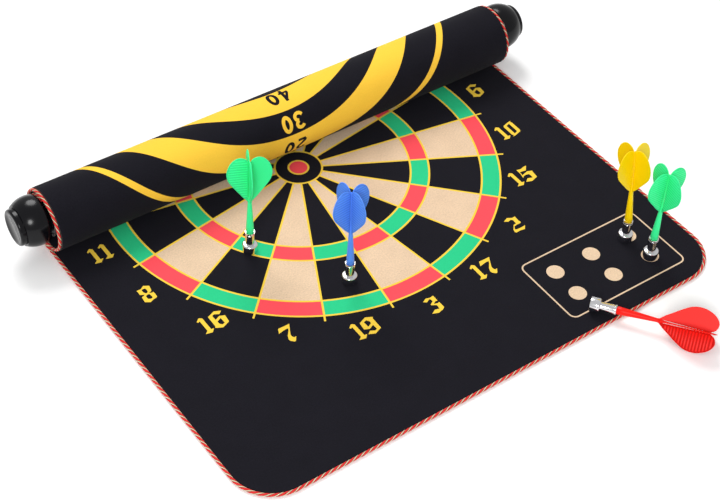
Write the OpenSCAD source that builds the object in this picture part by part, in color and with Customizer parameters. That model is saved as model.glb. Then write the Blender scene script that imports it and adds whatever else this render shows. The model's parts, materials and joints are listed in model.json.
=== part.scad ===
// Roll-up magnetic dartboard with five magnetic darts.
// The mat lies face up, with its last stretch curled back over itself and
// wound round a tube. Z is up, X runs along the tube and Y from the bottom edge
// of the mat to the roll. The origin is on the underside of the mat, below the
// centre of the target and midway between the side edges.

/* [Mat] */
// Width of the mat, measured over its edge cord
mat_w = 368; // [340:1:400]
// From the bottom edge of the mat to the centre of the target
target_up = 229; // [215:1:240]
// From the centre of the target to where the mat starts to curl up
curl_y = 24; // [10:1:30]
// Radius of the mat's two bottom corners
corner_r = 30; // [20:1:40]
// Thickness of the printed cloth on each side
cloth_t = 0.4; // [0.3:0.1:0.5]
// Thickness of the sheet inside that the magnets stick to
core_t = 1; // [0.8:0.1:1.1]
// Diameter of the twisted cord round the edge
cord_d = 2.4; // [2:0.1:3.2]

/* [Roll] */
// Radius of the roll where it starts, at the middle of the mat's thickness
roll_r = 23.2; // [22:0.1:24]
// How much closer each turn of the roll lies than the turn outside it
turn_pitch = 3.4; // [3.3:0.1:3.8]
// Number of strips that the rolled stretch of the mat bends as
strips = 16; // [16:1:16]
// Outer diameter of the tube that the mat is fixed to
tube_d = 25.4; // [24:0.1:25.4]
// Wall thickness of the tube
tube_wall = 1.5; // [1:0.1:2]
// Diameter of the ball on each end cap
cap_d = 34; // [32:0.5:36]

/* [Darts] */
// Length of a dart over everything
dart_l = 81; // [78:1:84]
// Diameter of the metal cup that holds the magnet
cup_d = 10; // [9:0.1:11]
// Width of the flight across two opposite fins
flight_w = 29.2; // [27:0.1:31]
// Thickness of a fin
fin_t = 0.9; // [0.8:0.1:1.2]

/* [Hidden] */
$fn = 64;
TAN = [0.88, 0.76, 0.59];
BLACK = [0.11, 0.11, 0.13];
CORD_RED = [0.88, 0.29, 0.27];
CHROME = [0.78, 0.78, 0.8];
MAGNET = [0.3, 0.3, 0.32];
RED = [0.95, 0.16, 0.1];
GREEN = [0.1, 0.78, 0.4];
BLUE = [0.25, 0.42, 0.88];
YELLOW = [0.97, 0.82, 0.1];

mat_t = core_t + 2 * cloth_t;
side_gap = 0.1;                  // between the sheets' edges and the cord
sheet_w = mat_w - 2 * cord_d - 2 * side_gap;
cord_x = (mat_w - cord_d) / 2;
joint_gap = 0.1;                 // each side of the line where two strips bend
cap_gap = 1.1;                   // between the edge cord and an end cap's ball
tube_l = sheet_w - 0.8;

// The roll turns one and a half times, in strips of equal angle. Angles are
// turned by the mat since it left the ground, so 180 is on top of the roll.
roll_turn = 540;
strip_a = roll_turn / strips;
step_r = turn_pitch * strip_a / 360;

// Radius of a strip at its outer face
function outer_r(i) = roll_r + mat_t / 2 - step_r * i;
// Direction towards the middle of the roll, in Y and Z
function inward(angle) = [-sin(angle), cos(angle)];
// Centre of a strip's curve, in Y and Z
function centre(i) = i == 0
    ? [curl_y, outer_r(0)]
    : centre(i - 1) - step_r * inward(i * strip_a);
// Where a strip starts, on its outer face, in Y and Z
function bend(i) = centre(i) - outer_r(i) * inward(i * strip_a);

tube_r = tube_d / 2;
hem_gap = 0.3;                   // glue between the tube and the mat
hem_r = tube_r + hem_gap + mat_t;
hem_wrap = 285;
tube_yz = bend(strips) + hem_r * inward(roll_turn);

// Heights along a dart, from the face of its magnet
cup_h = 6.5;
barrel_h = 17;
stem_h = 43.5;
plug_r = 2.25;
plug_l = 9;
lean_gap = 0.4;                  // lets a leaning stem clear the barrel

STRIPS = [for (i = [1:strips]) i];
DARTS = ["green_dart", "blue_dart", "yellow_dart", "spare_green_dart", "red_dart"];

// Turns a flat profile about the tube's direction. The profile's X is the
// distance from the centre and its Y runs along the tube.
module turned(centre_yz, from, sweep) {
    translate([0, centre_yz.x, centre_yz.y])
        rotate([90, 0, 90])
            rotate([0, 0, from - 90])
                rotate_extrude(angle = sweep)
                    children();
}

// Outline of the flat part of the mat's sheets
module sheet_outline() {
    inset = cord_d + side_gap;
    r = corner_r - inset;
    bottom = inset - target_up;
    top = curl_y - joint_gap;
    translate([-sheet_w / 2, bottom + r])
        square([sheet_w, top - bottom - r]);
    translate([r - sheet_w / 2, bottom])
        square([sheet_w - 2 * r, r]);
    for (side = [-1, 1])
        translate([side * (sheet_w / 2 - r), bottom + r])
            circle(r);
}

module sheet(low, thickness) {
    translate([0, 0, low])
        linear_extrude(thickness)
            sheet_outline();
}

module front_cloth() {
    color(TAN) sheet(cloth_t + core_t, cloth_t);
}

module core_sheet() {
    color(MAGNET) sheet(cloth_t, core_t);
}

module back_cloth() {
    color(BLACK) sheet(0, cloth_t);
}

// Cord along both sides and the bottom of the flat part
module edge_cord() {
    bend_r = corner_r - cord_d / 2;
    low_y = corner_r - target_up;
    color(CORD_RED)
        translate([0, 0, cord_d / 2])
            union() {
                for (side = [-1, 1]) {
                    translate([side * cord_x, low_y, 0])
                        rotate([-90, 0, 0])
                            cylinder(h = curl_y - joint_gap - low_y, d = cord_d);
                    translate([side * (cord_x - bend_r), low_y, 0])
                        rotate([0, 0, side > 0 ? -90 : 180])
                            rotate_extrude(angle = 90)
                                translate([bend_r, 0])
                                    circle(d = cord_d);
                }
                translate([bend_r - cord_x, cord_d / 2 - target_up, 0])
                    rotate([0, 90, 0])
                        cylinder(h = 2 * (cord_x - bend_r), d = cord_d);
            }
}

// The arc that one bending strip of the mat, or of its cord, takes up
module strip_arc(i) {
    gap_a = joint_gap / roll_r * 180 / PI;
    turned(centre(i), i * strip_a + gap_a, strip_a - 2 * gap_a)
        children();
}

module roll_strip(i) {
    color(BLACK)
        strip_arc(i)
            translate([outer_r(i) - mat_t, -sheet_w / 2])
                square([mat_t, sheet_w]);
}

module roll_cord(i) {
    color(CORD_RED)
        for (side = [-1, 1])
            strip_arc(i)
                translate([outer_r(i) - cord_d / 2, side * cord_x])
                    circle(d = cord_d);
}

// The end of the mat, glued round the tube
module tube_hem() {
    gap_a = joint_gap / hem_r * 180 / PI;
    color(BLACK)
        turned(tube_yz, roll_turn + gap_a, hem_wrap)
            translate([hem_r - mat_t, -sheet_w / 2])
                square([mat_t, sheet_w]);
}

module roll_tube() {
    color([0.6, 0.6, 0.6])
        turned(tube_yz, 0, 360)
            translate([tube_r - tube_wall, -tube_l / 2])
                square([tube_wall, tube_l]);
}

// Cap for the tube's right end: a ball with a raised round face outside, a neck
// that passes inside the edge cord, and a spigot that goes into the tube
module end_cap() {
    ball_r = cap_d / 2;
    ball_x = 5.5;
    face_x = 15.5;
    face_r = 12.6;
    edge_r = 1.6;
    cap_l = 19.5;
    spigot_l = 14;
    spigot_r = tube_r - tube_wall - 0.05;
    neck_r = spigot_r + 0.25;
    shoulder_x = mat_w / 2 + cap_gap;
    neck_l = shoulder_x - tube_l / 2 - 0.1;
    color(BLACK)
        translate([shoulder_x, tube_yz.x, tube_yz.y])
            rotate([0, 90, 0])
                union() {
                    difference() {
                        translate([0, 0, ball_x])
                            sphere(ball_r);
                        translate([0, 0, -cap_d])
                            cylinder(h = cap_d, r = cap_d);
                        translate([0, 0, face_x])
                            cylinder(h = cap_d, r = cap_d);
                    }
                    translate([0, 0, face_x - 1])
                        cylinder(h = cap_l - face_x + 1 - edge_r, r = face_r);
                    translate([0, 0, face_x])
                        cylinder(h = cap_l - face_x, r = face_r - edge_r);
                    translate([0, 0, cap_l - edge_r])
                        rotate_extrude()
                            translate([face_r - edge_r, 0])
                                circle(edge_r);
                    translate([0, 0, -neck_l])
                        cylinder(h = neck_l + 1, r = neck_r);
                    translate([0, 0, -neck_l - spigot_l])
                        cylinder(h = spigot_l + 1, r = spigot_r);
                }
}

module end_cap_right() {
    end_cap();
}

module end_cap_left() {
    mirror([1, 0, 0])
        end_cap();
}

// Metal barrel: a cup for the magnet, and a socket for the flight's stem
module barrel() {
    neck_r = 2.9;
    mouth_r = 3.3;
    color(CHROME)
        difference() {
            rotate_extrude()
                polygon([
                    [0, 0], [cup_d / 2 - 0.3, 0], [cup_d / 2, 0.3],
                    [cup_d / 2, cup_h - 1.2], [cup_d / 2 - 1.2, cup_h],
                    [neck_r, cup_h], [mouth_r, barrel_h], [0, barrel_h]
                ]);
            translate([0, 0, -1])
                cylinder(h = 4.1, d = cup_d - 1);
            translate([0, 0, barrel_h - 9.5])
                cylinder(h = 10, r = plug_r + 0.05);
        }
}

module magnet() {
    color(MAGNET)
        cylinder(h = 3, d = cup_d - 1.1);
}

// Half of a heart, from the stem out to the widest point and back to the stem
// above it. Shares of half the flight's width and of the fin's height.
FIN = [
    [0, 0], [0.11, 0], [0.31, 0.107], [0.51, 0.226], [0.72, 0.346],
    [0.93, 0.49], [0.99, 0.572], [1, 0.646], [0.975, 0.734], [0.915, 0.811],
    [0.82, 0.886], [0.71, 0.937], [0.57, 0.981], [0.42, 1], [0.27, 0.989],
    [0.1, 0.952], [0, 0.94]
];
module fin_outline() {
    translate([0, stem_h])
        scale([flight_w / 2, dart_l - stem_h])
            polygon(FIN);
}

// Moulded flight: a plug in the barrel, a tapered stem and four fins. The soft
// stem can lean where it leaves the barrel, and the fins can be turned on it.
module flight(colour, lean_x, lean_y, spin) {
    color(colour)
        union() {
            translate([0, 0, barrel_h - plug_l])
                cylinder(h = plug_l + lean_gap, r = plug_r);
            translate([0, 0, barrel_h + lean_gap])
                rotate([lean_x, lean_y, 0])
                    translate([0, 0, -barrel_h])
                        union() {
                            translate([0, 0, barrel_h - 0.1])
                                cylinder(h = stem_h - barrel_h + 0.1, r1 = 2.7, r2 = 1.3);
                            translate([0, 0, stem_h])
                                cylinder(h = dart_l - stem_h - 3, r1 = 1.3, r2 = 0.6);
                            for (turn = [45:90:315])
                                rotate([0, 0, turn + spin])
                                    translate([0, fin_t / 2, 0])
                                        rotate([90, 0, 0])
                                            linear_extrude(fin_t)
                                                fin_outline();
                        }
        }
}

// Puts a dart where it stands or lies. Four stand on the mat, and the red one
// lies with its cup on the mat and its flight on the ground.
rest_gap = 0.05;
lying_tilt = 3.3;
module placed(dart) {
    stand_z = mat_t + rest_gap;
    if (dart == "green_dart")
        translate([-74.2, -50, stand_z]) rotate([0, 0, 20]) children();
    if (dart == "blue_dart")
        translate([-35.7, -108.5, stand_z]) rotate([0, 0, -35]) children();
    if (dart == "yellow_dart")
        translate([141.4, -176.5, stand_z]) rotate([0, 0, -35]) children();
    if (dart == "spare_green_dart")
        translate([144.6, -198.1, stand_z]) rotate([0, 0, -35]) children();
    if (dart == "red_dart")
        translate([79.5, -212.5, stand_z + cup_d / 2])
            rotate([0, 0, -55.7])
                rotate([0, 90 - lying_tilt, 0])
                    children();
}

module dart_flight(dart) {
    placed(dart) {
        if (dart == "green_dart") flight(GREEN, 0, 0, 0);
        if (dart == "blue_dart") flight(BLUE, 0, -1.5, -6);
        if (dart == "yellow_dart") flight(YELLOW, 0, -5, -6);
        if (dart == "spare_green_dart") flight(GREEN, 5, -1, -16);
        if (dart == "red_dart") flight(RED, 0, 0, 0);
    }
}

module dart_barrel(dart) {
    placed(dart) barrel();
}

module dart_magnet(dart) {
    placed(dart) magnet();
}

front_cloth();
core_sheet();
back_cloth();
edge_cord();
for (i = STRIPS) {
    roll_strip(i - 1);
    roll_cord(i - 1);
}
tube_hem();
roll_tube();
end_cap_left();
end_cap_right();
for (d = DARTS) {
    dart_flight(d);
    dart_barrel(d);
    dart_magnet(d);
}
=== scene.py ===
import json
import math

import bpy
import numpy as np
from mathutils import Matrix, Vector
from mathutils.geometry import delaunay_2d_cdt


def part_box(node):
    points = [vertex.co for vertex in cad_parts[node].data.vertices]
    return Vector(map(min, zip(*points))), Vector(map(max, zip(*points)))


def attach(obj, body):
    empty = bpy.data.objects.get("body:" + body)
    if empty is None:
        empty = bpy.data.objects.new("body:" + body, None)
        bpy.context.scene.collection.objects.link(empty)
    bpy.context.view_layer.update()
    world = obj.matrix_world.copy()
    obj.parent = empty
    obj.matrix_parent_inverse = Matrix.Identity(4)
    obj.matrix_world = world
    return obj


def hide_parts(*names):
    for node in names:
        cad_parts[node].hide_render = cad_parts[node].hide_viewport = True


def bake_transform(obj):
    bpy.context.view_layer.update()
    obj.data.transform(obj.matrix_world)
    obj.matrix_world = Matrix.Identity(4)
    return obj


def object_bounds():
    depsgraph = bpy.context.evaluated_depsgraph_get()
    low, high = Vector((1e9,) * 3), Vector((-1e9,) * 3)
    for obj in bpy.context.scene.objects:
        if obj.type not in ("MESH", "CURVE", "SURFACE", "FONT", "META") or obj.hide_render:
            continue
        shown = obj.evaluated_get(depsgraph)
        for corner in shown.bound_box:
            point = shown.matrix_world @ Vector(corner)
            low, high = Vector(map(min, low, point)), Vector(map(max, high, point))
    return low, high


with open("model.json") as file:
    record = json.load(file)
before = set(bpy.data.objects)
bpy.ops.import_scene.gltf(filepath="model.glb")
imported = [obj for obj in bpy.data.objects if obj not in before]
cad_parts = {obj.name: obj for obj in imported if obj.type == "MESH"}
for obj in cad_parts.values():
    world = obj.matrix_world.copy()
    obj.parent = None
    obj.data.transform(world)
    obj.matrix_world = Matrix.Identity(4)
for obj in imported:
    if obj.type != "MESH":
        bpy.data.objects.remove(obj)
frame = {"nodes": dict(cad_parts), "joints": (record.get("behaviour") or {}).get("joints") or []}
cad_low, cad_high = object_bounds()

MM = 0.001

# ---------------------------------------------------------------- camera, light
CAMERA_AT = Vector((-0.48045, -0.69519, 0.76632))
CAMERA_TARGET = Vector((-0.01379, -0.08946, 0.0018))
CAMERA_ROLL = math.radians(3.4)
CAMERA_LENS = 82.18
WORLD_STRENGTH = 0.63
# Round area lights: name, place, what it is aimed at, size across and power in watts
LIGHTS = (
    ("behind", (0.25, 0.95, 1.35), (0, -0.05, 0), 0.9, 18.5),
    ("front_left", (-0.9, -1.0, 0.95), (0, -0.1, 0), 0.5, 11.5),
)


def make_camera():
    data = bpy.data.cameras.new("camera")
    data.lens, data.sensor_width = CAMERA_LENS, 36
    data.clip_start, data.clip_end = 0.01, 20
    camera = bpy.data.objects.new("camera", data)
    bpy.context.scene.collection.objects.link(camera)
    forward = (CAMERA_TARGET - CAMERA_AT).normalized()
    level = forward.cross(Vector((0, 0, 1))).normalized()
    upright = level.cross(forward)
    right = level * math.cos(CAMERA_ROLL) + upright * math.sin(CAMERA_ROLL)
    up = right.cross(forward)
    turn = Matrix((right, up, -forward)).transposed()
    camera.matrix_world = Matrix.Translation(CAMERA_AT) @ turn.to_4x4()
    bpy.context.scene.camera = camera


def area_light(name, place, aim, size, watts):
    data = bpy.data.lights.new(name, "AREA")
    data.shape, data.size, data.energy = "DISK", size, watts
    light = bpy.data.objects.new(name, data)
    bpy.context.scene.collection.objects.link(light)
    light.location = place
    light.rotation_euler = (Vector(aim) - Vector(place)).to_track_quat("-Z", "Y").to_euler()


def make_lights():
    world = bpy.data.worlds.new("studio")
    world.use_nodes = True
    background = world.node_tree.nodes["Background"]
    background.inputs["Color"].default_value = (1, 1, 1, 1)
    background.inputs["Strength"].default_value = WORLD_STRENGTH
    bpy.context.scene.world = world
    bpy.context.scene.view_settings.view_transform = "Standard"
    bpy.context.scene.view_settings.look = "None"
    for light in LIGHTS:
        area_light(*light)


make_camera()
make_lights()


# ---------------------------------------------------------------- materials
def linear(red, green, blue):
    """A colour as seen on a screen, 0 to 255, as light."""
    def one(c):
        c /= 255
        return c / 12.92 if c <= 0.04045 else ((c + 0.055) / 1.055) ** 2.4
    return one(red), one(green), one(blue)


class Shader:
    """A material's nodes, built up from one Principled shader."""

    def __init__(self, name):
        self.material = bpy.data.materials.new(name)
        self.material.use_nodes = True
        self.tree = self.material.node_tree
        self.surface = self.tree.nodes["Principled BSDF"]

    def put(self, **values):
        """Sets inputs of the surface, named with _ for a space."""
        for key, value in values.items():
            self.surface.inputs[key.replace("_", " ")].default_value = value
        return self

    def node(self, kind, **inputs):
        """A new node, with inputs that are values or other nodes' outputs."""
        made = self.tree.nodes.new(kind)
        for key, value in inputs.items():
            self.feed(made.inputs[key.replace("_", " ")], value)
        return made

    def feed(self, socket, value):
        if hasattr(value, "node"):
            self.tree.links.new(value, socket)
        else:
            socket.default_value = value

    def math(self, operation, a, b=0.0, c=0.0):
        made = self.tree.nodes.new("ShaderNodeMath")
        made.operation = operation
        for socket, value in zip(made.inputs, (a, b, c)):
            self.feed(socket, value)
        return made.outputs[0]

    def noise(self, where, scale, detail=2.0):
        made = self.node("ShaderNodeTexNoise", Vector=where, Scale=scale, Detail=detail)
        return made.outputs["Fac"]

    def vary(self, colour, amount, dark, light):
        """The surface's colour, from colour times dark to colour times light."""
        ramp = self.tree.nodes.new("ShaderNodeMix")
        ramp.data_type = "RGBA"
        self.feed(ramp.inputs["Factor"], amount)
        ramp.inputs["A"].default_value = tuple(c * dark for c in colour) + (1,)
        ramp.inputs["B"].default_value = tuple(c * light for c in colour) + (1,)
        self.feed(self.surface.inputs["Base Color"], ramp.outputs["Result"])

    def bump(self, height, strength, distance):
        made = self.node("ShaderNodeBump", Height=height, Strength=strength, Distance=distance)
        self.feed(self.surface.inputs["Normal"], made.outputs["Normal"])

    def place(self):
        return self.tree.nodes.new("ShaderNodeTexCoord").outputs["Object"]

    def sheet_place(self):
        made = self.tree.nodes.new("ShaderNodeUVMap")
        made.uv_map = "Sheet"
        return made.outputs["UV"]


# Length of one wave of the weave, which is two threads
THREAD = 0.62 * MM


def cloth(name, colour, speckle):
    """Printed woven cloth. Its threads follow the Sheet map, which is in metres."""
    s = Shader(name).put(Roughness=0.9, Specular_IOR_Level=0.08)
    s.put(Sheen_Weight=0.02, Sheen_Roughness=0.5)
    where = s.sheet_place()
    parts = s.node("ShaderNodeSeparateXYZ", Vector=where)
    wave = 2 * math.pi / THREAD
    warp = s.math("SINE", s.math("MULTIPLY", parts.outputs["X"], wave))
    weft = s.math("SINE", s.math("MULTIPLY", parts.outputs["Y"], wave))
    weave = s.math("MULTIPLY", warp, weft)
    fuzz = s.noise(where, 1000, 4)
    patch = s.noise(where, 60, 3)
    grain = s.math("ADD", s.math("MULTIPLY", fuzz, 0.75), s.math("MULTIPLY", patch, 0.25))
    shade = s.math("MULTIPLY_ADD", weave, 0.18, grain)
    swing = 2.2 * speckle  # the noise seldom comes near its ends
    s.vary(colour, shade, 1 - swing, 1 + swing)
    s.bump(s.math("ADD", weave, s.math("MULTIPLY", fuzz, 0.8)), 0.35, 0.12 * MM)
    return s.material


def yarn(name, colour):
    """Spun thread of the edge cord."""
    s = Shader(name).put(Roughness=0.85, Specular_IOR_Level=0.15)
    s.put(Sheen_Weight=0.1, Sheen_Roughness=0.4)
    fibres = s.noise(s.place(), 2600, 3)
    s.vary(colour, fibres, 0.8, 1.15)
    s.bump(fibres, 0.6, 0.12 * MM)
    return s.material


def plastic(name, colour, rough, glow=0.0, gloss=0.4):
    """Moulded plastic with a faint orange-peel surface. Glow lets thin walls shine through."""
    s = Shader(name).put(Roughness=rough, Specular_IOR_Level=gloss)
    if glow:
        s.put(Subsurface_Weight=glow, Subsurface_Scale=1.2 * MM)
        s.put(Subsurface_Radius=(1, 1, 1))
    wear = s.noise(s.place(), 90, 4)
    s.vary(colour, wear, 0.96, 1.04)
    s.bump(s.noise(s.place(), 900, 2), 0.08, 0.05 * MM)
    return s.material


def metal(name, colour, rough, scratch=0.15):
    """Plated or bare metal with fine wear in its gloss."""
    s = Shader(name).put(Metallic=1.0)
    marks = s.noise(s.place(), 700, 4)
    s.vary(colour, marks, 0.94, 1.04)
    s.feed(s.surface.inputs["Roughness"], s.math("MULTIPLY_ADD", marks, scratch, rough))
    s.bump(marks, 0.1, 0.02 * MM)
    return s.material


# Share of a screen colour that a surface needs as its base colour in this light
EXPOSE = 0.93


def seen(red, green, blue):
    """The base colour that shows as this screen colour under the studio light."""
    return tuple(c * EXPOSE for c in linear(red, green, blue))


INK = {
    "black": cloth("black_cloth", seen(23, 22, 29), 0.26),
    "tan": cloth("tan_print", seen(225, 196, 165), 0.18),
    "red": cloth("red_print", seen(250, 80, 90), 0.05),
    "green": cloth("green_print", seen(45, 200, 136), 0.05),
    "yellow": cloth("yellow_print", seen(246, 206, 70), 0.03),
    "amber": cloth("amber_print", seen(255, 203, 66), 0.04),
    "core": plastic("magnetic_core", seen(70, 68, 66), 0.7),
}
INKS = list(INK.values())
SLOT = {name: k for k, name in enumerate(INK)}
CORD = [
    yarn("cord_red", seen(222, 50, 48)),
    yarn("cord_cream", seen(226, 206, 172)),
    # Black for the faces that lie low in the gaps between the red and the cream
    yarn("cord_black", seen(28, 22, 24)),
]
BLACK_CAP = plastic("black_cap", seen(8, 8, 12), 0.2, gloss=0.22)
TUBE_GREY = plastic("grey_tube", seen(130, 130, 132), 0.6)
CHROME = metal("plated_barrel", (0.78, 0.78, 0.8), 0.1, 0.08)
MAGNET = metal("magnet_metal", (0.3, 0.3, 0.32), 0.35)


def flight_plastic(name, colour, glow, shade):
    """The flight's plastic, and a darker copy of it that is painted shade for the faces down in
    the grooves between ribs.
    """
    painted_groove_shade = tuple(c * shade for c in colour)
    return [plastic(name + "_plastic", colour, 0.4, glow, 0.2),
            plastic(name + "_groove", painted_groove_shade, 0.5, glow, 0.1)]


# Each plastic's colour, how much light its thin walls let through, and the share of its colour
# kept in the painted groove shade
FLIGHT_PLASTIC = {
    "green": flight_plastic("green", seen(62, 255, 160), 0.14, 0.8),
    "blue": flight_plastic("blue", seen(92, 152, 255), 0.14, 0.8),
    "yellow": flight_plastic("yellow", linear(255, 213, 0), 0.14, 0.86),
    "red": flight_plastic("red", seen(246, 20, 4), 0.05, 0.66),
}


# ---------------------------------------------------------------- meshes
def make_object(name, verts, faces, materials, marks=None, normals=None, sheet_map=None):
    """A mesh object. marks gives each face's material, normals each vertex's normal,
    and sheet_map each vertex's place on the flattened mat."""
    mesh = bpy.data.meshes.new(name)
    mesh.from_pydata([tuple(v) for v in verts], [], [tuple(f) for f in faces])
    for material in materials:
        mesh.materials.append(material)
    if marks is not None:
        mesh.polygons.foreach_set("material_index", [int(m) for m in marks])
    mesh.polygons.foreach_set("use_smooth", [True] * len(mesh.polygons))
    if sheet_map is not None:
        layer = mesh.uv_layers.new(name="Sheet")
        at = np.zeros(len(mesh.loops), int)
        mesh.loops.foreach_get("vertex_index", at)
        layer.data.foreach_set("uv", np.asarray(sheet_map, float)[at].ravel())
    mesh.update()
    if normals is not None:
        mesh.normals_split_custom_set_from_vertices([tuple(n) for n in normals])
    made = bpy.data.objects.new(name, mesh)
    bpy.context.scene.collection.objects.link(made)
    return made


class Builder:
    """Collects the surfaces of one object. marks is the material of one surface or of
    each of its faces, and places are the vertices' places on the flattened mat."""

    def __init__(self):
        self.verts, self.faces, self.marks = [], [], []
        self.normals, self.places = [], []

    def add(self, verts, faces, marks, normals=None, places=None):
        first = len(self.verts)
        self.verts += [tuple(v) for v in verts]
        self.faces += [tuple(first + i for i in f) for f in faces]
        self.marks += [marks] * len(faces) if isinstance(marks, int) else list(marks)
        if normals is not None:
            self.normals += [tuple(n) for n in normals]
        if places is not None:
            self.places += [tuple(p) for p in places]

    def build(self, name, materials):
        return make_object(
            name, self.verts, self.faces, materials, self.marks,
            self.normals or None, self.places or None)


def grid_faces(rows, columns, closed=False):
    """Faces of a grid of points, stored row by row."""
    faces = []
    for r in range(rows - 1):
        for c in range(columns if closed else columns - 1):
            d = (c + 1) % columns
            faces.append((r * columns + c, r * columns + d,
                          (r + 1) * columns + d, (r + 1) * columns + c))
    return faces


# ---------------------------------------------------------------- mat's shape
JOINTS = {j["name"]: j for j in frame["joints"]}
HALF_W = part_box("front_cloth")[1].x
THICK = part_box("front_cloth")[1].z
CLOTH_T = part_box("back_cloth")[1].z
LOW_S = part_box("front_cloth")[0].y
STRIPS = sum(name.startswith("roll_strip_") for name in frame["nodes"])
STRIP_A = math.radians(JOINTS["bend_2"]["range_deg"][1])
TUBE_LOW, TUBE_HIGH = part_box("roll_tube")
TUBE_YZ = np.array([(TUBE_LOW.y + TUBE_HIGH.y) / 2, (TUBE_LOW.z + TUBE_HIGH.z) / 2])
HINGES = np.array([JOINTS[f"bend_{k}"]["pos_m"][1:] for k in range(1, STRIPS + 2)])
SIDE_GAP = 0.1 * MM
CORD_X = (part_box("edge_cord")[1].x + HALF_W + SIDE_GAP) / 2
CORD_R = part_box("edge_cord")[1].z / 2
HEM_WRAP = math.radians(285)
# Longest piece of the mat between two edges right across it, in mm
BEND_STEP = 1.7
# Keeps a place on a seam within its own strip
NUDGE = 1e-9


def inward(angle):
    """Towards the middle of the roll, in Y and Z, once the mat has turned by angle."""
    return np.stack([-np.sin(angle), np.cos(angle)], -1)


class Curl:
    """The mat's curve: a straight part, then arcs that each turn by STRIP_A, then the
    turn round the tube. Place s is measured along the middle of the mat's thickness."""

    def __init__(self):
        self.start_a = np.arange(STRIPS + 1) * STRIP_A
        chord = np.linalg.norm(np.diff(HINGES, axis=0), axis=1)
        radius = chord / (2 * math.sin(STRIP_A / 2))
        hem = np.linalg.norm(HINGES[-1] - TUBE_YZ)
        self.outer = np.append(radius, hem)
        self.centre = HINGES + self.outer[:, None] * inward(self.start_a)
        self.middle = self.outer - THICK / 2
        lengths = self.middle[:-1] * STRIP_A
        self.start_s = HINGES[0][0] + np.concatenate([[0], np.cumsum(lengths)])
        self.end_s = self.start_s[-1] + HEM_WRAP * self.middle[-1]
        half = np.append(lengths / 2, lengths[-1] / 2)
        self.seams = np.concatenate([[self.start_s[0] - lengths[0] / 2], self.start_s + half])

    def points(self, x, s, depth):
        """Points of the mat, depth above its underside, and their inward directions."""
        x, s, depth = np.broadcast_arrays(*map(np.asarray, (x, s, depth)))
        part = np.clip(np.searchsorted(self.start_s, s, "right") - 1, 0, STRIPS)
        angle = self.start_a[part] + (s - self.start_s[part]) / self.middle[part]
        n = inward(angle)
        yz = self.centre[part] - n * (self.outer[part] - depth)[..., None]
        flat = s < self.start_s[0]
        yz = np.where(flat[..., None], np.stack([s, depth], -1), yz)
        n = np.where(flat[..., None], np.array([0.0, 1.0]), n)
        place = np.concatenate([x[..., None], yz], -1)
        normal = np.concatenate([np.zeros_like(x)[..., None], n], -1)
        return place, normal


CURL = Curl()


# ---------------------------------------------------------------- print
# In mm on the flattened mat: x from its middle line, s along it from the target's centre.
# LINE is half the width of a ring or spoke, and SECTOR a number's angle in degrees.
TARGET_X = -2.8
LINE = 0.66
SECTOR = 18
RINGS = (140.0, 127.0, 90.6, 77.7, 16.4, 6.9)
SPOKE_FROM, SPOKE_TO = 16.4, 144.8
NUMBERS = (20, 1, 18, 4, 13, 6, 10, 15, 2, 17, 3, 19, 7, 16, 8, 11, 14, 9, 12, 5)
NUMBER_R, NUMBER_H = 155.0, 14.8
PANEL = (65.4, -213.5, 162.9, -158.8)
PANEL_R, PANEL_LINE = 4.5, 1.05
DOT_R = 6.0
DOTS = [(x, s) for x in (82.4, 113.3, 145.4) for s in (-175.0, -197.5)]
BACK_RINGS = (168.8, 164.3, 142.5, 123.0, 106.0, 87.5, 69.0, 50.5, 32.0, 13.5)
BACK_NUMBERS = (("20", 134.0), ("30", 115.0), ("40", 94.0))
BACK_FIGURE_PITCH = 9.7
# Sides of a ring drawn larger or smaller than BIG_RING
BIG_RING, BIG_SIDES, SMALL_SIDES, BACK_SMALL_SIDES, DOT_SIDES = 50, 180, 60, 72, 32

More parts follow.
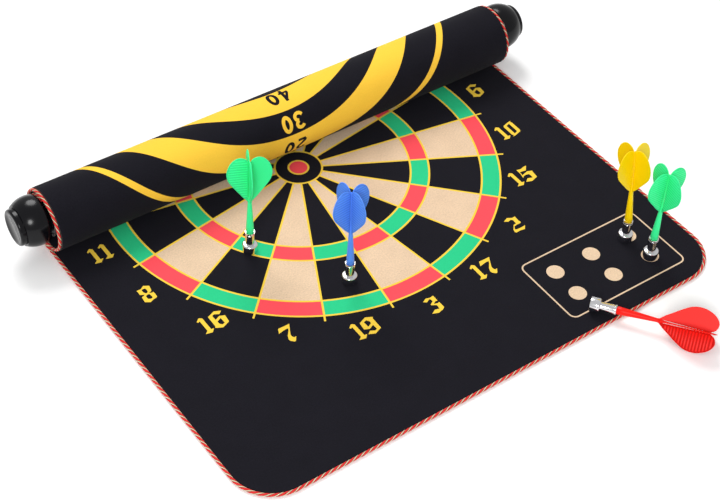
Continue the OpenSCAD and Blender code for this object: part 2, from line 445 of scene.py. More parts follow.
# Blackletter figures as pen strokes, on a grid that is 10 high
SIX = [
    [(0.7, 8.5), (2.5, 8.5), (2.7, 5.0), (2.8, 2.5), (2.1, 1.8), (0.6, 1.8)],
    [(0.7, 8.5), (4.5, 10.0), (7.4, 8.7), (5.7, 7.4), (3.7, 8.5), (2.5, 8.1)],
    [(2.5, 5.3), (5.1, 6.5), (7.4, 5.5), (6.8, 4.4), (4.7, 5.1), (2.8, 4.1)],
    [(5.1, 5.7), (7.4, 5.5), (7.0, 1.8), (6.6, 1.3), (5.1, 1.8), (5.0, 4.3)],
    [(0.1, 1.5), (0.7, 2.5), (2.8, 2.7), (3.7, 1.6), (5.1, 2.0), (6.8, 1.5), (3.1, 0.0)],
]
FIGURES = {
    "1": [
        [(1.9, 8.9), (2.6, 10.0), (3.7, 9.1), (3.7, 1.7), (1.9, 1.7)],
        [(0.6, 8.6), (2.3, 10.0), (3.0, 9.3), (2.1, 8.4), (1.0, 7.9)],
        [(0.3, 0.7), (1.9, 1.9), (3.0, 1.7), (3.8, 1.9), (5.0, 1.7), (3.3, 0.0)],
    ],
    "2": [
        [(0.3, 8.9), (2.9, 10.0), (5.0, 8.8), (6.7, 8.9), (6.4, 5.9), (6.7, 4.9), (6.3, 4.1),
         (5.0, 4.5), (4.2, 4.9), (4.5, 7.3), (3.7, 8.2), (2.0, 7.8)],
        [(5.0, 5.1), (2.7, 4.8), (0.7, 2.4), (0.3, 0.9), (1.3, 2.1), (2.4, 3.9), (4.3, 4.2),
         (6.3, 4.1)],
        [(0.3, 0.9), (0.7, 0.3), (3.3, 0.4), (5.4, 0.0), (7.0, 1.9), (5.0, 1.7), (2.1, 1.8),
         (1.4, 2.2), (0.7, 2.4)],
    ],
    "3": [
        [(0.9, 8.7), (3.1, 9.8), (5.0, 9.2), (6.9, 9.5), (6.8, 6.4), (6.6, 6.0), (5.4, 6.6),
         (4.8, 7.0), (4.6, 8.5), (4.0, 8.6), (2.3, 7.7)],
        [(5.0, 7.1), (2.8, 5.7), (2.9, 5.3), (5.0, 4.1), (6.0, 4.8), (4.2, 5.4), (6.0, 6.4)],
        [(4.8, 4.4), (6.9, 5.1), (6.9, 1.7), (6.7, 1.3), (5.1, 0.4), (4.6, 2.1), (4.9, 3.0)],
        [(0.2, 1.1), (2.6, 2.4), (5.1, 1.7), (6.7, 1.3), (5.4, 0.7), (3.0, 0.0)],
    ],
    "4": [
        [(0.1, 3.2), (1.8, 3.6), (4.4, 9.0), (3.6, 10.0), (2.2, 8.4)],
        [(0.1, 3.2), (1.4, 4.4), (3.2, 3.8), (5.0, 4.4), (6.2, 3.8), (5.0, 2.6), (3.0, 3.0),
         (1.4, 2.6)],
        [(3.2, 6.4), (4.8, 7.4), (4.8, 1.4), (4.0, 0.0), (3.2, 1.2)],
    ],
    "5": [
        [(1.4, 9.8), (3.7, 9.3), (5.4, 9.8), (7.3, 9.9), (5.1, 7.3), (1.9, 7.9)],
        [(1.4, 9.8), (2.1, 9.3), (1.6, 5.1), (0.7, 3.8), (1.4, 6.8)],
        [(0.7, 3.8), (1.9, 5.6), (5.1, 6.5), (7.5, 5.6), (7.0, 4.2), (5.1, 4.4), (3.3, 4.9),
         (1.7, 4.7)],
        [(4.7, 4.5), (7.3, 5.4), (6.8, 1.2), (5.8, 0.7), (4.7, 1.6), (4.9, 3.0)],
        [(0.2, 1.0), (2.3, 2.6), (4.9, 1.6), (6.1, 0.9), (3.0, 0.0)],
    ],
    "6": SIX,
    "7": [
        [(0.2, 7.2), (1.4, 9.8), (4.1, 9.7), (7.0, 9.7), (6.7, 9.3), (5.6, 7.7), (4.1, 7.9),
         (2.6, 7.7)],
        [(7.0, 9.7), (5.3, 7.9), (4.6, 6.6), (2.7, 4.3), (1.9, 2.4), (2.1, 1.3), (3.4, 0.0),
         (4.1, 0.1), (5.6, 2.2), (4.5, 2.1), (4.0, 3.1), (4.1, 4.3), (5.3, 6.6)],
    ],
    "8": [
        [(0.6, 9.0), (2.6, 8.9), (4.4, 10.1), (6.7, 8.8), (6.1, 8.1), (4.6, 8.3), (2.9, 8.5),
         (2.2, 8.1), (0.6, 8.3)],
        [(0.6, 9.0), (2.6, 8.8), (2.6, 6.8), (3.1, 5.8), (1.9, 5.7), (0.6, 6.1), (0.7, 7.9)],
        [(4.4, 8.3), (6.7, 8.8), (6.2, 6.2), (5.7, 5.7), (4.4, 5.8), (4.6, 7.4)],
        [(0.6, 6.1), (2.6, 6.2), (3.7, 5.3), (6.1, 4.4), (6.4, 3.9), (4.7, 4.2), (3.5, 4.7)],
        [(6.2, 6.4), (4.2, 5.8), (0.6, 4.4), (0.6, 3.5), (3.7, 4.7), (6.0, 5.7)],
        [(0.6, 4.4), (2.4, 4.4), (2.4, 2.4), (2.6, 1.5), (0.3, 1.4), (0.4, 2.1)],
        [(4.4, 4.2), (6.4, 4.7), (6.5, 3.8), (6.4, 1.5), (5.8, 1.1), (4.3, 1.8), (4.6, 2.4)],
        [(0.2, 1.4), (0.8, 2.1), (2.6, 2.2), (3.5, 1.7), (4.4, 1.8), (6.1, 1.4), (6.0, 1.1),
         (3.9, 0.7), (2.4, 0.0)],
    ],
    "9": [[(7.4 - x, 10 - y) for x, y in stroke] for stroke in SIX],
    "0": [
        [(0.6, 1.4), (0.6, 8.0), (1.4, 9.0), (2.3, 8.2), (2.3, 1.8), (1.6, 0.9)],
        [(4.3, 1.8), (4.3, 8.4), (5.1, 9.6), (6.1, 8.8), (6.1, 2.4), (5.2, 1.2)],
        [(0.9, 8.7), (2.0, 7.9), (5.0, 8.9), (6.5, 10.0), (4.6, 9.8)],
        [(0.2, 0.2), (1.8, 0.3), (5.9, 1.6), (4.6, 2.4), (1.8, 1.4)],
    ],
}
FIGURE_WIDTH = {"1": 5.0, "2": 7.0, "7": 7.0, "0": 6.6}
USUAL_WIDTH, FIGURE_GAP = 7.2, 0.4


def front_number(number):
    """Strokes of one number on the target, in mm."""
    k = NUMBERS.index(number)
    angle = math.radians(SECTOR * k)
    scale = NUMBER_H / 10
    widths = [FIGURE_WIDTH.get(c, USUAL_WIDTH) for c in str(number)]
    total = sum(widths) + FIGURE_GAP * (len(widths) - 1)
    x = TARGET_X + NUMBER_R * math.sin(angle) - total * scale / 2
    y = NUMBER_R * math.cos(angle) - NUMBER_H / 2
    strokes = []
    for c, width in zip(str(number), widths):
        strokes += [[(x + px * scale, y + py * scale) for px, py in stroke]
                    for stroke in FIGURES[c]]
        x += (width + FIGURE_GAP) * scale
    return strokes


def pen(points, width, closed=False):
    """A pen line as four-sided strokes that share their mitred ends."""
    p = np.array(points, float)
    ahead = np.roll(p, -1, 0) - p
    behind = p - np.roll(p, 1, 0)
    if not closed:
        ahead[-1], behind[0] = behind[-1], ahead[0]
    ahead /= np.linalg.norm(ahead, axis=1)[:, None]
    behind /= np.linalg.norm(behind, axis=1)[:, None]
    across = ahead + behind
    across /= np.linalg.norm(across, axis=1)[:, None]
    across = np.stack([-across[:, 1], across[:, 0]], 1)
    stretch = 1 / np.maximum(0.5, np.abs(across[:, 0] * -ahead[:, 1] + across[:, 1] * ahead[:, 0]))
    side = across * stretch[:, None] * width / 2
    count = len(p) if closed else len(p) - 1
    return [[tuple(q) for q in (p[i] - side[i], p[j] - side[j], p[j] + side[j], p[i] + side[i])]
            for i in range(count) for j in [(i + 1) % len(p)]]


def oval(cx, cy, rx, ry, start, end, steps):
    """Points round part of an oval, from start to end in degrees."""
    angles = np.radians(np.linspace(start, end, steps + 1))
    return [(cx + rx * math.cos(a), cy + ry * math.sin(a)) for a in angles]


FIGURE_MIDDLE = (4, 6)


def back_figure(c):
    """Strokes of a plain bold figure, 8 wide and 12 high, in mm."""
    if c == "0":
        return pen(oval(4, 6, 2.7, 4.8, 0, 360, 22)[:-1], 2.5, True)
    if c == "2":
        return pen(oval(4, 8.4, 2.7, 2.4, 165, -20, 9) + [(1.6, 2.6), (1.4, 1.2)], 2.3) \
            + pen([(1.2, 1.1), (7.2, 1.1)], 2.2)
    if c == "3":
        return pen(oval(3.7, 8.5, 2.7, 2.3, 160, -75, 10), 2.3) \
            + pen(oval(3.7, 3.6, 3.0, 2.5, 80, -160, 10), 2.3)
    return pen([(5.0, 0.0), (5.0, 12.0)], 2.4) + pen([(5.4, 11.4), (1.2, 4.6)], 1.9) \
        + pen([(0.3, 3.7), (7.6, 3.7)], 2.1)


def back_number(text, radius):
    """Strokes of one number on the back. Its top is towards the tube."""
    strokes = []
    middle_x, middle_y = FIGURE_MIDDLE
    for k, c in enumerate(text):
        x = TARGET_X + BACK_FIGURE_PITCH * (0.5 - k)
        strokes += [[(x - (px - middle_x), radius - middle_y + py) for px, py in stroke]
                    for stroke in back_figure(c)]
    return strokes


def inside(polygon, x, y):
    """Which of the points lie in the polygon."""
    p = np.array(polygon)
    result = np.zeros(len(x), bool)
    near = np.nonzero((x > p[:, 0].min()) & (x < p[:, 0].max())
                      & (y > p[:, 1].min()) & (y < p[:, 1].max()))[0]
    odd = np.zeros(len(near), bool)
    for (x0, y0), (x1, y1) in zip(p, np.roll(p, -1, 0)):
        crosses = (y0 > y[near]) != (y1 > y[near])
        if y0 != y1:
            odd ^= crosses & (x[near] < x0 + (y[near] - y0) / (y1 - y0) * (x1 - x0))
    result[near] = odd
    return result


def front_ink(x, s, strokes):
    """Ink of each point on the front, in mm."""
    ink = np.full(len(x), SLOT["black"])
    dx = x - TARGET_X
    r, angle = np.hypot(dx, s), np.degrees(np.arctan2(dx, s))
    light = np.floor((angle + SECTOR / 2) / SECTOR).astype(int) % 2 == 0
    band = ((r < RINGS[0]) & (r > RINGS[1])) | ((r < RINGS[2]) & (r > RINGS[3]))
    board = (r > RINGS[4]) & (r < RINGS[0])
    ink[board & light] = SLOT["tan"]
    ink[board & band & light] = SLOT["red"]
    ink[board & band & ~light] = SLOT["green"]
    ink[r < RINGS[5]] = SLOT["red"]
    off = (angle - SECTOR / 2) % SECTOR
    off = np.radians(np.minimum(off, SECTOR - off))
    spoke = (r * np.sin(off) < LINE) & (r > SPOKE_FROM) & (r * np.cos(off) < SPOKE_TO)
    ring = np.min([np.abs(r - edge) for edge in RINGS], axis=0) < LINE
    ink[ring | spoke] = SLOT["yellow"]
    for cx, cy in DOTS:
        # A little less, because its sides cut inside the circle
        ink[np.hypot(x - cx, s - cy) < 0.999 * DOT_R] = SLOT["tan"]
    outer = inside(panel_line(PANEL_LINE / 2), x, s)
    ink[outer & ~inside(panel_line(-PANEL_LINE / 2), x, s)] = SLOT["tan"]
    for stroke in strokes:
        ink[inside(stroke, x, s)] = SLOT["yellow"]
    return ink


def back_ink(x, s, strokes):
    """Ink of each point on the back, in mm: numbers take the other ink."""
    r = np.hypot(x - TARGET_X, s)
    amber = np.sum([r < edge for edge in BACK_RINGS], axis=0) % 2 == 1
    amber[r > BACK_RINGS[0]] = False
    figure = np.zeros(len(x), bool)
    for stroke in strokes:
        figure |= inside(stroke, x, s)
    return np.where(amber ^ figure, SLOT["amber"], SLOT["black"])


def circle(cx, cy, radius, steps):
    """Outline of a disc."""
    angles = np.linspace(0, 2 * math.pi, steps, endpoint=False)
    return [(cx + radius * math.cos(a), cy + radius * math.sin(a)) for a in angles]


def panel_line(grow):
    """Rounded outline of the panel where the darts are parked."""
    x0, y0, x1, y1 = PANEL[0] - grow, PANEL[1] - grow, PANEL[2] + grow, PANEL[3] + grow
    r = PANEL_R + grow
    points = []
    for cx, cy, start in ((x1 - r, y0 + r, -90), (x1 - r, y1 - r, 0), (x0 + r, y1 - r, 90),
                          (x0 + r, y0 + r, 180)):
        points += [(cx + r * math.cos(math.radians(a)), cy + r * math.sin(math.radians(a)))
                   for a in range(start, start + 91, 15)]
    return points


def spokes():
    """Outlines of the lines between the numbers' sectors."""
    made = []
    for k in range(20):
        a = math.radians(SECTOR / 2 + SECTOR * k)
        along, across = np.array([math.sin(a), math.cos(a)]), np.array([math.cos(a), -math.sin(a)])
        corners = [(SPOKE_FROM, -LINE), (SPOKE_TO, -LINE), (SPOKE_TO, LINE), (SPOKE_FROM, LINE)]
        made.append([tuple(np.array([TARGET_X, 0]) + along * u + across * v) for u, v in corners])
    return made


CORNER_R = 27.5 * MM


def sheet_outline():
    """Outline of the flattened mat inside its cord, in mm."""
    w, low, high, r = HALF_W / MM, LOW_S / MM, CURL.end_s / MM, CORNER_R / MM
    arc = [math.radians(a) for a in range(0, 91, 6)]
    right = [(w - r + r * math.sin(a), low + r - r * math.cos(a)) for a in arc]
    left = [(-x, y) for x, y in reversed(right)]
    return right + [(w, high), (-w, high)] + left


def cut_lines():
    """Places along the mat, in mm, where its surface has an edge right across."""
    marks = []
    seams = np.append(CURL.seams, CURL.end_s) / MM
    for a, b in zip(seams, seams[1:]):
        count = max(2, math.ceil((b - a) / BEND_STEP))
        marks += list(np.linspace(a, b, count, endpoint=False))
    return marks


def triangles(verts, edges, outline, smallest):
    """Triangles inside an outline that keep every edge, leaving out slivers: their
    points, faces and middles."""
    points, _, faces, _, _, _ = delaunay_2d_cdt(verts, edges, [], 0, 1e-5)
    points = np.array([tuple(p) for p in points])
    faces = np.array([f for f in faces if len(f) == 3])
    middle = points[faces].mean(1)
    a, b, c = (points[faces[:, k]] for k in range(3))
    size = np.cross(b - a, c - a)
    faces[size < 0] = faces[size < 0][:, ::-1]
    keep = inside(outline, middle[:, 0], middle[:, 1]) & (np.abs(size) > smallest)
    return points, faces[keep], middle[keep]


def loop_edges(first, count):
    """Edges of a closed loop whose points are stored one after another."""
    return [(first + i, first + (i + 1) % count) for i in range(count)]


def triangulate(loops, lines):
    """Triangles of the flattened mat that keep the edges of every loop and line."""
    verts, edges = [], []
    for loop in [sheet_outline()] + loops:
        edges += loop_edges(len(verts), len(loop))
        verts += [Vector(p) for p in loop]
    wide = HALF_W / MM
    for s in lines:
        edges.append((len(verts), len(verts) + 1))
        verts += [Vector((-wide, s)), Vector((wide, s))]
    return triangles(verts, edges, sheet_outline(), 1e-7)


class Face:
    """One printed side of the mat, flattened out, cut into triangles of one ink."""

    def __init__(self, loops, ink, strokes, depth, sign):
        self.points, self.faces, self.middle = triangulate(loops + strokes, cut_lines())
        self.inks = ink(self.middle[:, 0], self.middle[:, 1], strokes)
        self.depth, self.sign = depth, sign

    def add_part(self, builder, low, high):
        """Adds the triangles between two places along the mat."""
        s = self.middle[:, 1] * MM
        chosen = (s > low) & (s < high)
        used, faces = np.unique(self.faces[chosen], return_inverse=True)
        faces = faces.reshape(-1, 3)
        flat = self.points[used] * MM
        inner = np.clip(flat[:, 1], low + NUDGE, high - NUDGE)
        place, normal = CURL.points(flat[:, 0], inner, self.depth)
        if self.sign < 0:
            faces = faces[:, ::-1]
        builder.add(place, faces, self.inks[chosen], normal * self.sign, flat)


def front_face():
    """The side with the target, the numbers and the parking panel."""
    loops = []
    for radius in RINGS:
        steps = BIG_SIDES if radius > BIG_RING else SMALL_SIDES
        loops += [circle(TARGET_X, 0, radius + d, steps) for d in (-LINE, LINE)]
    loops += spokes() + [panel_line(PANEL_LINE / 2), panel_line(-PANEL_LINE / 2)]
    loops += [circle(x, s, DOT_R, DOT_SIDES) for x, s in DOTS]
    strokes = [stroke for n in NUMBERS for stroke in front_number(n)]
    return Face(loops, front_ink, strokes, THICK, 1)


def back_face():
    """The side with rings alone, which shows on the roll."""
    loops = [circle(TARGET_X, 0, r, BIG_SIDES if r > BIG_RING else BACK_SMALL_SIDES)
             for r in BACK_RINGS]
    strokes = [stroke for text, r in BACK_NUMBERS for stroke in back_number(text, r)]
    return Face(loops, back_ink, strokes, 0.0, -1)


def add_side_walls(builder, low, high):
    """Cut edges of the laminate along both sides."""
    count = max(2, math.ceil((high - low) / (BEND_STEP * MM)) + 1)
    s = np.linspace(low + NUDGE, high - NUDGE, count)
    for side in (-1, 1):
        rows = [CURL.points(side * HALF_W, s, depth)[0] for depth in (0.0, THICK)]
        verts = np.concatenate(rows)
        faces = grid_faces(2, count)
        if side < 0:
            faces = [f[::-1] for f in faces]
        out = [(side, 0, 0)] * len(verts)
        places = np.tile(np.stack([np.full(count, side * HALF_W), s], 1), (2, 1))
        builder.add(verts, faces, SLOT["core"], out, places)


def add_rim(builder, low, high, points):
    """Cut edge of one cloth round the flat part's outline."""
    ring = np.array(points) * MM
    count = len(ring)
    middle = ring.mean(0)
    verts, normals = [], []
    for z in (low, high):
        for x, y in ring:
            verts.append((x, y, z))
            away = Vector((x - middle[0], y - middle[1], 0)).normalized()
            normals.append(tuple(away))
    faces = [(i, i + 1, count + i + 1, count + i) for i in range(count - 1)]
    builder.add(verts, faces, SLOT["black"], normals, np.tile(ring, (2, 1)))


def flat_outline():
    """Outline of the flat part from its left end round to its right end, in mm."""
    w, high = HALF_W / MM, CURL.seams[0] / MM
    low_part = [p for p in sheet_outline() if p[1] < high]
    half = len(low_part) // 2
    return [(-w, high)] + low_part[half:] + low_part[:half] + [(w, high)]


def build_flat(front, back):
    """The flat part's two printed cloths."""
    for name, face, low, high, node, slot in (
            ("mat_front", front, THICK - CLOTH_T, THICK, "front_cloth", "printed_cloth"),
            ("mat_back", back, 0.0, CLOTH_T, "back_cloth", "back_cloth")):
        b = Builder()
        face.add_part(b, -1, CURL.seams[0])
        add_rim(b, low, high, flat_outline())
        piece = b.build(name, INKS)
        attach(piece, "mat")
        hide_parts(node)


def laminate(front, back, low, high):
    """All three layers of the mat between two places along it."""
    b = Builder()
    front.add_part(b, low, high)
    back.add_part(b, low, high)
    add_side_walls(b, low, high)
    return b


def blend_ends(low, high, depth):
    """Two points of the mat at the given depth, a twentieth of the way in from each end of the
    stretch between low and high.
    """
    margin = 0.05 * (high - low)
    ends, _ = CURL.points(0.0, np.array([low + margin, high - margin]), depth)
    return tuple(ends[0]), tuple(ends[1])


def build_bends(front, back):
    """The rolled stretch: one piece across each hinge, as far as both strips' middles."""
    for k in range(1, STRIPS + 2):
        low, high = CURL.seams[k - 1], CURL.seams[k]
        piece = laminate(front, back, low, high).build(f"mat_bend_{k}", INKS)
        start, end = blend_ends(low, high, THICK / 2)
        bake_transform(piece)
        if k <= STRIPS:
            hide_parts(f"roll_strip_{k}")


def build_hem(front, back):
    """The mat's end, glued round the tube."""
    high = CURL.end_s
    b = laminate(front, back, CURL.seams[-1], high)
    x = np.array([-HALF_W, HALF_W])
    verts = np.concatenate([CURL.points(x, high, d)[0] for d in (0.0, THICK)])
    angle = CURL.start_a[-1] + HEM_WRAP
    out = (0, math.cos(angle), math.sin(angle))
    places = [(v, high) for v in (-HALF_W, HALF_W)] * 2
    b.add(verts, [(1, 0, 2, 3)], SLOT["core"], [out] * 4, places)
    piece = b.build("mat_hem", INKS)
    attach(piece, "tube")
    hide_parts("tube_hem")


# ---------------------------------------------------------------- edge cord
CORD_PITCH = 11.4 * MM
CORD_STEP = 0.9 * MM
# Round half the cord: angle in degrees, radius as a share of the cord's, and the
# material of the face that follows: 0 red yarn, 1 cream yarn, 2 black, on the faces that lie low
# in the gaps between the red and the cream
STRANDS = [(0, 0.76, 0), (25, 0.89, 0), (50, 0.93, 0), (76, 0.89, 0), (100, 0.74, 2),
           (116, 0.72, 1), (127, 0.83, 1), (139, 0.87, 1), (151, 0.83, 1), (163, 0.72, 2)]
ROUND = [(math.radians(a + 180 * h), r, y) for h in (0, 1) for a, r, y in STRANDS]


def add_cord(builder, centres, tangents, normals, along):
    """One length of twisted cord. along is the distance from the cord's start."""
    rows = []
    for c, t, n, u in zip(centres, tangents, normals, along):
        side = np.cross(t, n)
        phase = -2 * math.pi * u / CORD_PITCH
        rows += [c + CORD_R * r * (n * math.cos(a + phase) + side * math.sin(a + phase))
                 for a, r, _ in ROUND]
    count = len(ROUND)
    faces = grid_faces(len(centres), count, closed=True)
    marks = [y for _, _, y in ROUND] * (len(centres) - 1)
    builder.add(rows, [f[::-1] for f in faces], marks)
    ends = [tuple(range(count))[::-1], tuple((len(centres) - 1) * count + i for i in range(count))]
    first = len(builder.verts) - len(rows)
    builder.faces += [tuple(first + i for i in f) for f in ends]
    builder.marks += [0, 0]


CORD_BEND_R = 28.8 * MM
CORD_LOW = LOW_S - SIDE_GAP - CORD_R


def flat_cord_path():
    """Centre line of the cord round the flat part, from its left end to its right end."""
    top, r = CURL.seams[0], CORD_BEND_R
    points = [(-CORD_X, y) for y in np.arange(top, CORD_LOW + r, -CORD_STEP)]
    points += [(-CORD_X + r - r * math.cos(a), CORD_LOW + r - r * math.sin(a))
               for a in np.linspace(0, math.pi / 2, 50)]
    points += [(x, CORD_LOW) for x in np.arange(-CORD_X + r + CORD_STEP, 0, CORD_STEP)]
    points += [(-x, y) for x, y in reversed(points)]
    return np.array([(x, y, CORD_R) for x, y in points])


def build_cords():
    """The cord round the flat part, then a length on each side across each hinge."""
    p = flat_cord_path()
    steps = np.diff(p, axis=0)
    length = np.linalg.norm(steps, axis=1)
    along = np.concatenate([[0], np.cumsum(length)])
    tangents = np.gradient(p, axis=0)
    tangents /= np.linalg.norm(tangents, axis=1)[:, None]
    b = Builder()
    add_cord(b, p, tangents, [np.array([0, 0, 1.0])] * len(p), along)
    piece = b.build("rope_flat", CORD)
    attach(piece, "mat")
    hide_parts("edge_cord")
    for k in range(1, STRIPS + 2):
        low = CURL.seams[k - 1]
        high = min(CURL.seams[k], CURL.start_s[-1])
        s = np.linspace(low, high, max(3, math.ceil((high - low) / CORD_STEP) + 1))
        inner = np.clip(s, low + NUDGE, high - NUDGE)
        b = Builder()
        for side in (-1, 1):
            centres, normals = CURL.points(side * CORD_X, inner, CORD_R)
            t = np.stack([np.zeros(len(s)), normals[:, 2], -normals[:, 1]], 1) * side
            beyond = s - CURL.seams[0]
            u = -beyond if side < 0 else along[-1] + beyond
            order = slice(None, None, -1) if side < 0 else slice(None)
            add_cord(b, centres[order], t[order], normals[order], u[order])
        piece = b.build(f"rope_bend_{k}", CORD)
        start, end = blend_ends(low, CURL.seams[k], THICK / 2)
        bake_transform(piece)
        if k <= STRIPS:
            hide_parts(f"roll_cord_{k}")


# ---------------------------------------------------------------- turned parts
# Radius, in mm, where a profile stops beside its axis
AXIS = 0.01


def turned(profile, steps):
    """Points and faces of a profile of (radius, height), in mm, turned about Z."""
    angles = np.linspace(0, 2 * math.pi, steps, endpoint=False)
    verts = [(r * MM * math.cos(a), r * MM * math.sin(a), z * MM)
             for r, z in profile for a in angles]
    return verts, grid_faces(len(profile), steps, closed=True)


def add_turned(builder, place, profile, steps):
    """Adds a turned profile, moved from the origin by the matrix place."""
    verts, faces = turned(profile, steps)
    builder.add([place @ Vector(v) for v in verts], faces, 0)


def arc(cr, cz, radius, start, end, steps):
    """Part of a circle in a profile. Angles are from straight out, towards up."""
    return [(cr + radius * math.cos(math.radians(a)), cz + radius * math.sin(math.radians(a)))
            for a in np.linspace(start, end, steps + 1)]


def crisp(made, degrees):
    """Keeps edges sharper than this angle."""
    made.data.set_sharp_from_angle(angle=math.radians(degrees))


# An end cap, in mm. Heights are outwards from where the ball meets the tube's end.
CAP_TOP = 19.5
BALL_AT, BALL_TOP = 5.5, 10
SPIGOT_GAP, SPIGOT_BEVEL = 1.55, 0.6
NECK_L, NECK_STEP = 3.2, 0.25
FACE_R, FACE_STEP, FACE_ROUND, FACE_RIM, FACE_SINK = 12.6, 4.0, 1.6, 9.6, 0.25


def build_caps():
    """Ball-shaped end caps, each with a raised round face outside."""
    for side, node in ((-1, "end_cap_left"), (1, "end_cap_right")):
        low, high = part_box(node)
        ball = (high.y - low.y) / 2 / MM
        outer = max(abs(low.x), abs(high.x)) / MM
        inner = min(abs(low.x), abs(high.x)) / MM
        shoulder = outer - CAP_TOP
        foot = inner - shoulder
        spigot = (TUBE_HIGH.y - TUBE_LOW.y) / 2 / MM - SPIGOT_GAP
        neck = spigot + NECK_STEP
        wall_r = ball * math.cos(math.asin(BALL_AT / ball))
        profile = [(AXIS, foot), (spigot - SPIGOT_BEVEL, foot), (spigot, foot + SPIGOT_BEVEL),
                   (spigot, -NECK_L), (neck, -NECK_L), (neck, 0), (wall_r - 0.5, 0)]
        start = math.degrees(math.asin(-BALL_AT / ball)) + 2
        end = math.degrees(math.asin(BALL_TOP / ball))
        profile += arc(0, BALL_AT, ball, start, end, 24)
        bend = CAP_TOP - FACE_ROUND
        profile += [(FACE_R, CAP_TOP - FACE_STEP), (FACE_R, bend)]
        profile += arc(FACE_R - FACE_ROUND, bend, FACE_ROUND, 12, 90, 7)
        sunk = CAP_TOP - FACE_SINK
        profile += [(FACE_RIM, CAP_TOP), (FACE_RIM - 0.4, sunk), (AXIS, sunk)]
        verts, faces = turned(profile, 72)
        made = make_object(node + "_ball", verts, faces, [BLACK_CAP])
        made.rotation_euler = (0, side * math.pi / 2, 0)
        made.location = (side * shoulder * MM, TUBE_YZ[0], TUBE_YZ[1])
        crisp(made, 35)
        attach(made, "tube")
        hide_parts(node)


# ---------------------------------------------------------------- darts
# Each dart's plastic, turn about its own length, lean about its X and Y, turn of
# its fins on the stem, and the ribbed sides of a fin: 1 or -1 for one side, 2 for both
DARTS = {
    "green_dart": ("green", 20, (0, 0), 0, -1),
    "blue_dart": ("blue", -35, (0, -1.5), -6, 2),
    "yellow_dart": ("yellow", -35, (0, -5), -6, 0),
    "spare_green_dart": ("green", -35, (5, -1), -16, 2),
    "red_dart": ("red", -55.7, (0, 0), 0, 1),
}
# A lying dart's tilt over its fins, in degrees
LYING = {"red_dart": 90 - 3.3}
# A dart, in mm. Heights are from the face of its magnet.
CUP_R, CUP_H, BARREL_H = 5.0, 6.5, 17.0
MAGNET_R, MAGNET_H, MAGNET_GAP = 4.45, 3.0, 0.1
STEM_H, DART_L = 43.5, 81.0
FLIGHT_HALF, FIN_T, FIN_ROUND = 14.6, 0.9, 0.25
PLUG_R, PLUG_L, LEAN_GAP = 2.25, 9.0, 0.4
SOCKET_R, SOCKET_L = 2.32, 9.4
# Ribs across a fin: how far apart, how high, where they start and the plain rim round them
RIB_PITCH, RIB_HIGH = 2.0, 0.3
RIB_LOW, RIM = STEM_H + 4, 0.7


def dart_frame(dart):
    """Where a dart's own frame stands: its origin on the magnet's face, Z along it."""
    yaw = DARTS[dart][1]
    turn = Matrix.Rotation(math.radians(yaw), 4, "Z")
    if dart in LYING:
        turn = turn @ Matrix.Rotation(math.radians(LYING[dart]), 4, "Y")
    low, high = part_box(dart + "_magnet")
    middle = (low + high) / 2
    along = (turn @ Vector((0, 0, 1, 0))).to_3d()
    return Matrix.Translation(middle - along * MAGNET_H / 2 * MM) @ turn


# Outline of a fin from the stem out to the widest point and back, as shares of
# half the flight's width and of the fin's height
FIN = ((0.07, -0.03), (0.11, 0.012), (0.2, 0.054), (0.31, 0.107), (0.41, 0.166), (0.51, 0.226),
       (0.62, 0.286), (0.72, 0.346), (0.84, 0.42), (0.93, 0.49), (0.975, 0.555), (0.997, 0.62),
       (0.995, 0.68), (0.975, 0.734), (0.945, 0.775), (0.91, 0.812), (0.87, 0.85), (0.82, 0.885),
       (0.76, 0.917), (0.7, 0.943), (0.62, 0.968), (0.54, 0.986), (0.45, 0.997), (0.37, 0.997),
       (0.29, 0.989), (0.21, 0.975), (0.14, 0.955), (0.08, 0.92), (0.03, 0.88))


def fin_outline():
    """Half a heart, in mm."""
    return [(u * FLIGHT_HALF, STEM_H + v * (DART_L - STEM_H)) for u, v in FIN]


def inset(points, amount):
    """A closed outline moved inwards by amount."""
    p = np.array(points)
    ahead = np.roll(p, -1, 0) - np.roll(p, 1, 0)
    ahead /= np.linalg.norm(ahead, axis=1)[:, None]
    return p + np.stack([-ahead[:, 1], ahead[:, 0]], 1) * amount


def fin_side(outline, ribbed):
    """One side of a fin: points in the fin's plane, their height above it, faces, and
    which faces slope down into a groove and so take the painted shade. A groove is V-shaped, half
    a rib's pitch wide."""
    verts = [Vector(p) for p in outline]
    edges = loop_edges(0, len(outline))
    if ribbed:
        for k in range(4 * int((DART_L - STEM_H) / RIB_PITCH)):
            edges.append((len(verts), len(verts) + 1))
            level = RIB_LOW + k * RIB_PITCH / 4
            verts += [Vector((-1, level)), Vector((FLIGHT_HALF + 1, level))]
        shrunk = inset(outline, RIM)
        edges += loop_edges(len(verts), len(shrunk))
        verts += [Vector(p) for p in shrunk]
    points, faces, _ = triangles(verts, edges, outline, 1e-6)
    height = np.zeros(len(points))
    if ribbed:
        core = inside(inset(outline, RIM - 0.01), points[:, 0], points[:, 1])
        step = np.rint((points[:, 1] - RIB_LOW) / (RIB_PITCH / 4)).astype(int) % 4
        height = np.where(core & (step != 0), RIB_HIGH, 0)
    painted_groove_shade = (height[faces] < RIB_HIGH / 2).any(1) & ribbed
    used, faces = np.unique(faces, return_inverse=True)
    return points[used], height[used], faces.reshape(-1, 3), painted_groove_shade


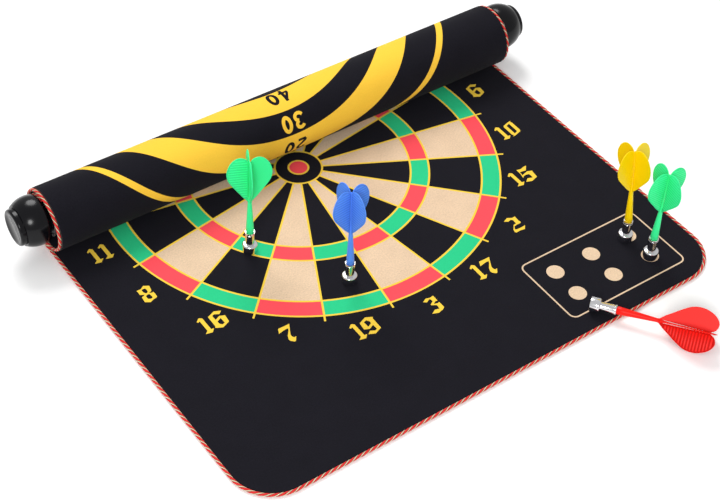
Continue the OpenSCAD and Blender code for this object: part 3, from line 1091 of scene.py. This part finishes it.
def add_fin(builder, turn, ribs):
    """One fin: two covers with a rounded edge between them."""
    outline = fin_outline()
    small = inset(outline, FIN_ROUND)
    half = FIN_T / 2 - RIB_HIGH / 2

    def place(u, v, w):
        return turn @ Vector((u * MM, -w * MM, v * MM))

    for side in (1, -1):
        ribbed = ribs in (side, 2)
        points, height, faces, painted_groove_shade = fin_side([tuple(p) for p in small], ribbed)
        verts = [place(u, v, side * (half + h)) for (u, v), h in zip(points, height)]
        # Faces that slope into a groove take the second material, a painted shade
        builder.add(verts, faces if side > 0 else faces[:, ::-1], painted_groove_shade.astype(int))
    rows = []
    for ring, w in ((small, half), (outline, half - FIN_ROUND),
                    (outline, FIN_ROUND - half), (small, -half)):
        rows += [place(u, v, w) for u, v in ring]
    builder.add(rows, [f[::-1] for f in grid_faces(4, len(outline), closed=True)], 0)


def build_flight(dart, base):
    """A flight with its four fins on a stem, and the plug that the barrel holds."""
    plastic_name, _, lean, spin, ribs = DARTS[dart]
    mouth = Matrix.Translation(Vector((0, 0, (BARREL_H + LEAN_GAP) * MM)))
    turn = Matrix.Rotation(math.radians(lean[1]), 4, "Y") \
        @ Matrix.Rotation(math.radians(lean[0]), 4, "X")
    tilt = mouth @ turn @ Matrix.Translation(Vector((0, 0, -BARREL_H * MM)))
    b = Builder()
    plug = [(AXIS, BARREL_H - PLUG_L), (PLUG_R, BARREL_H - PLUG_L), (PLUG_R, BARREL_H + LEAN_GAP)]
    add_turned(b, base, plug, 32)
    stem = [(AXIS, BARREL_H), (2.5, BARREL_H), (2.7, BARREL_H + 0.25), (2.5, BARREL_H + 4)]
    stem += [(1.3, STEM_H), (0.75, STEM_H + 4), (0.5, STEM_H + 10), (0.42, DART_L - 3.5)]
    stem += [(0.3, DART_L - 3.1), (AXIS, DART_L - 3)]
    add_turned(b, base @ tilt, stem, 32)
    for angle in (45, 135, 225, 315):
        add_fin(b, base @ tilt @ Matrix.Rotation(math.radians(angle + spin), 4, "Z"), ribs)
    made = b.build(dart + "_fins", FLIGHT_PLASTIC[plastic_name])
    crisp(made, 50)
    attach(made, dart)
    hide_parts(dart + "_flight")


def build_barrel(dart, base):
    """A plated barrel, hollow above for the stem and below for the magnet."""
    roof_z, socket_z = MAGNET_H + MAGNET_GAP, BARREL_H - SOCKET_L
    lip = 0.25
    profile = [(MAGNET_R, roof_z), (MAGNET_R, lip)]
    profile += arc(MAGNET_R + lip, lip, lip, 180, 270, 3)
    profile += arc(CUP_R - 0.35, 0.35, 0.35, -90, 0, 4)
    profile += arc(CUP_R - 1.1, CUP_H - 1.15, 1.1, 0, 80, 7)
    profile += [(3.3, CUP_H - 0.02), (2.98, CUP_H + 0.08), (2.9, CUP_H + 0.4)]
    profile += [(3.24, BARREL_H - 1.6), (3.1, BARREL_H - 1.45), (3.1, BARREL_H - 1.15),
                (3.28, BARREL_H - 1.0), (3.3, BARREL_H - 0.2), (3.2, BARREL_H),
                (2.45, BARREL_H), (SOCKET_R, BARREL_H - 0.15), (SOCKET_R, socket_z),
                (AXIS, socket_z)]
    b = Builder()
    add_turned(b, base, profile, 64)
    add_turned(b, base, [(AXIS, roof_z), (MAGNET_R, roof_z)], 64)
    made = b.build(dart + "_socket", [CHROME])
    crisp(made, 40)
    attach(made, dart)
    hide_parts(dart + "_barrel")


def dress(node, material):
    """Shows a CAD node as it is, in its own material."""
    made = frame["nodes"][node]
    made.data.materials.clear()
    made.data.materials.append(material)
    made.data.polygons.foreach_set("use_smooth", [True] * len(made.data.polygons))
    crisp(made, 30)


def build_darts():
    """The five darts, each of a flight, a barrel and the CAD's own magnet."""
    for dart in DARTS:
        base = dart_frame(dart)
        build_flight(dart, base)
        build_barrel(dart, base)
        dress(dart + "_magnet", MAGNET)


def build_floor():
    """A square floor just below the mat."""
    half, z = 3.0, cad_low.z - 0.2 * MM
    corners = [(-half, -half, z), (half, -half, z), (half, half, z), (-half, half, z)]
    s = Shader("floor").put(Roughness=0.9, Specular_IOR_Level=0.1)
    s.put(Base_Color=(0.97, 0.97, 0.97, 1))
    make_object("floor", corners, [(0, 1, 2, 3)], [s.material])


front, back = front_face(), back_face()
build_flat(front, back)
build_bends(front, back)
build_hem(front, back)
build_cords()
build_caps()
build_darts()
dress("core_sheet", INK["core"])
dress("roll_tube", TUBE_GREY)
build_floor()
